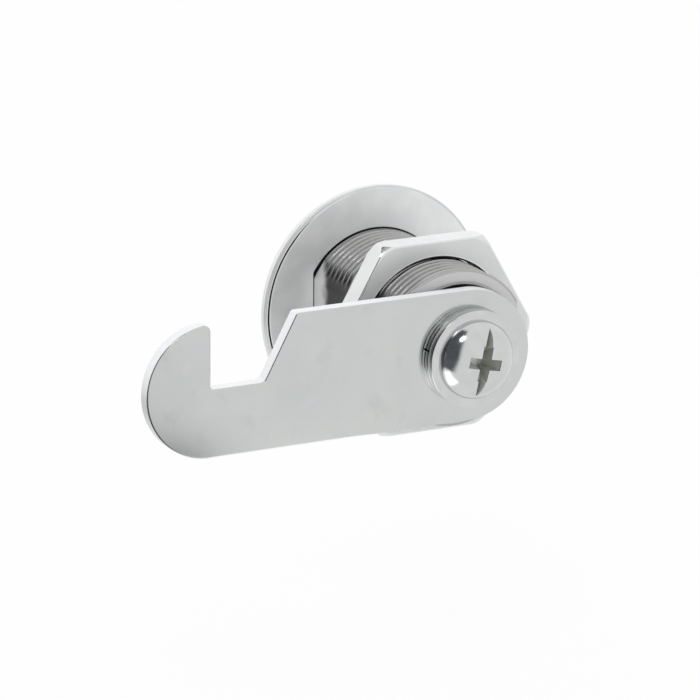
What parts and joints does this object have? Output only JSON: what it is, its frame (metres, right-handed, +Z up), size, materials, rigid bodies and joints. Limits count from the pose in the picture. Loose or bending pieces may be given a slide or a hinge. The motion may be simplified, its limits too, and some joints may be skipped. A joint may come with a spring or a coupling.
{
  "type": "cam lock",
  "caption": "Panel cam lock: round capped flange, threaded barrel with flats, hexagon nut, key plug with sprung wafers, and a flat hook cam that swings a quarter turn on the plug's tail.",
  "frame": {"origin": "centre of the flange's panel seat, on the barrel's axis", "axes": "+Y back along the barrel towards the cam, +X along the cam towards its hook, +Z up, the way the hook's mouth opens"},
  "size_m": [0.0531, 0.0289, 0.0282],
  "materials": {
    "zinc_casting": "zinc die-casting with a thin bright plating",
    "bright_cap": "pressed sheet, bright nickel plating",
    "plug_brass": "turned, nickel-plated",
    "wafer_brass": "stamped, bare",
    "spring_steel": "drawn wire",
    "plated_steel": "bright zinc plating",
    "cam_steel": "stamped, bright zinc plating",
    "screw_nickel": "cold-headed, nickel-plated",
    "nut_steel": "bright zinc plating"
  },
  "bodies": {
    "lock_body": {"housing": "zinc_casting", "face_cap": "bright_cap"},
    "plug_and_cam": {"plug": "plug_brass", "stop_washer": "plated_steel", "cam": "cam_steel", "lock_washer": "plated_steel", "cam_screw": "screw_nickel", "wafer_spring_1": "spring_steel", "wafer_spring_2": "spring_steel", "wafer_spring_3": "spring_steel", "wafer_spring_4": "spring_steel", "wafer_spring_5": "spring_steel", "wafer_spring_6": "spring_steel"},
    "wafer_1": {"wafer_1": "wafer_brass"},
    "wafer_2": {"wafer_2": "wafer_brass"},
    "wafer_3": {"wafer_3": "wafer_brass"},
    "wafer_4": {"wafer_4": "wafer_brass"},
    "wafer_5": {"wafer_5": "wafer_brass"},
    "wafer_6": {"wafer_6": "wafer_brass"},
    "nut": {"mounting_nut": "nut_steel"}
  },
  "joints": [
    {"name": "cam_turn", "type": "hinge", "parent": "lock_body", "child": "plug_and_cam", "pos_m": [0, 0, 0], "axis": [0, 1, 0], "range_deg": [0, 90]},
    {"name": "wafer_1_slide", "type": "slide", "parent": "plug_and_cam", "child": "wafer_1", "axis": [0, 0, 1], "range_m": [-0.0005, 0.0009], "stiffness_N_per_m": 60, "springref_m": 0.002, "deforming": ["wafer_spring_1"]},
    {"name": "wafer_2_slide", "type": "slide", "parent": "plug_and_cam", "child": "wafer_2", "axis": [0, 0, -1], "range_m": [-0.0005, 0.0009], "stiffness_N_per_m": 60, "springref_m": 0.002, "deforming": ["wafer_spring_2"]},
    {"name": "wafer_3_slide", "type": "slide", "parent": "plug_and_cam", "child": "wafer_3", "axis": [0, 0, 1], "range_m": [-0.0005, 0.0009], "stiffness_N_per_m": 60, "springref_m": 0.002, "deforming": ["wafer_spring_3"]},
    {"name": "wafer_4_slide", "type": "slide", "parent": "plug_and_cam", "child": "wafer_4", "axis": [0, 0, -1], "range_m": [-0.0005, 0.0009], "stiffness_N_per_m": 60, "springref_m": 0.002, "deforming": ["wafer_spring_4"]},
    {"name": "wafer_5_slide", "type": "slide", "parent": "plug_and_cam", "child": "wafer_5", "axis": [0, 0, 1], "range_m": [-0.0005, 0.0009], "stiffness_N_per_m": 60, "springref_m": 0.002, "deforming": ["wafer_spring_5"]},
    {"name": "wafer_6_slide", "type": "slide", "parent": "plug_and_cam", "child": "wafer_6", "axis": [0, 0, -1], "range_m": [-0.0005, 0.0009], "stiffness_N_per_m": 60, "springref_m": 0.002, "deforming": ["wafer_spring_6"]},
    {"name": "nut_travel", "type": "slide", "parent": "lock_body", "child": "nut", "axis": [0, 1, 0], "range_m": [-0.0106, 0.005]}
  ]
}
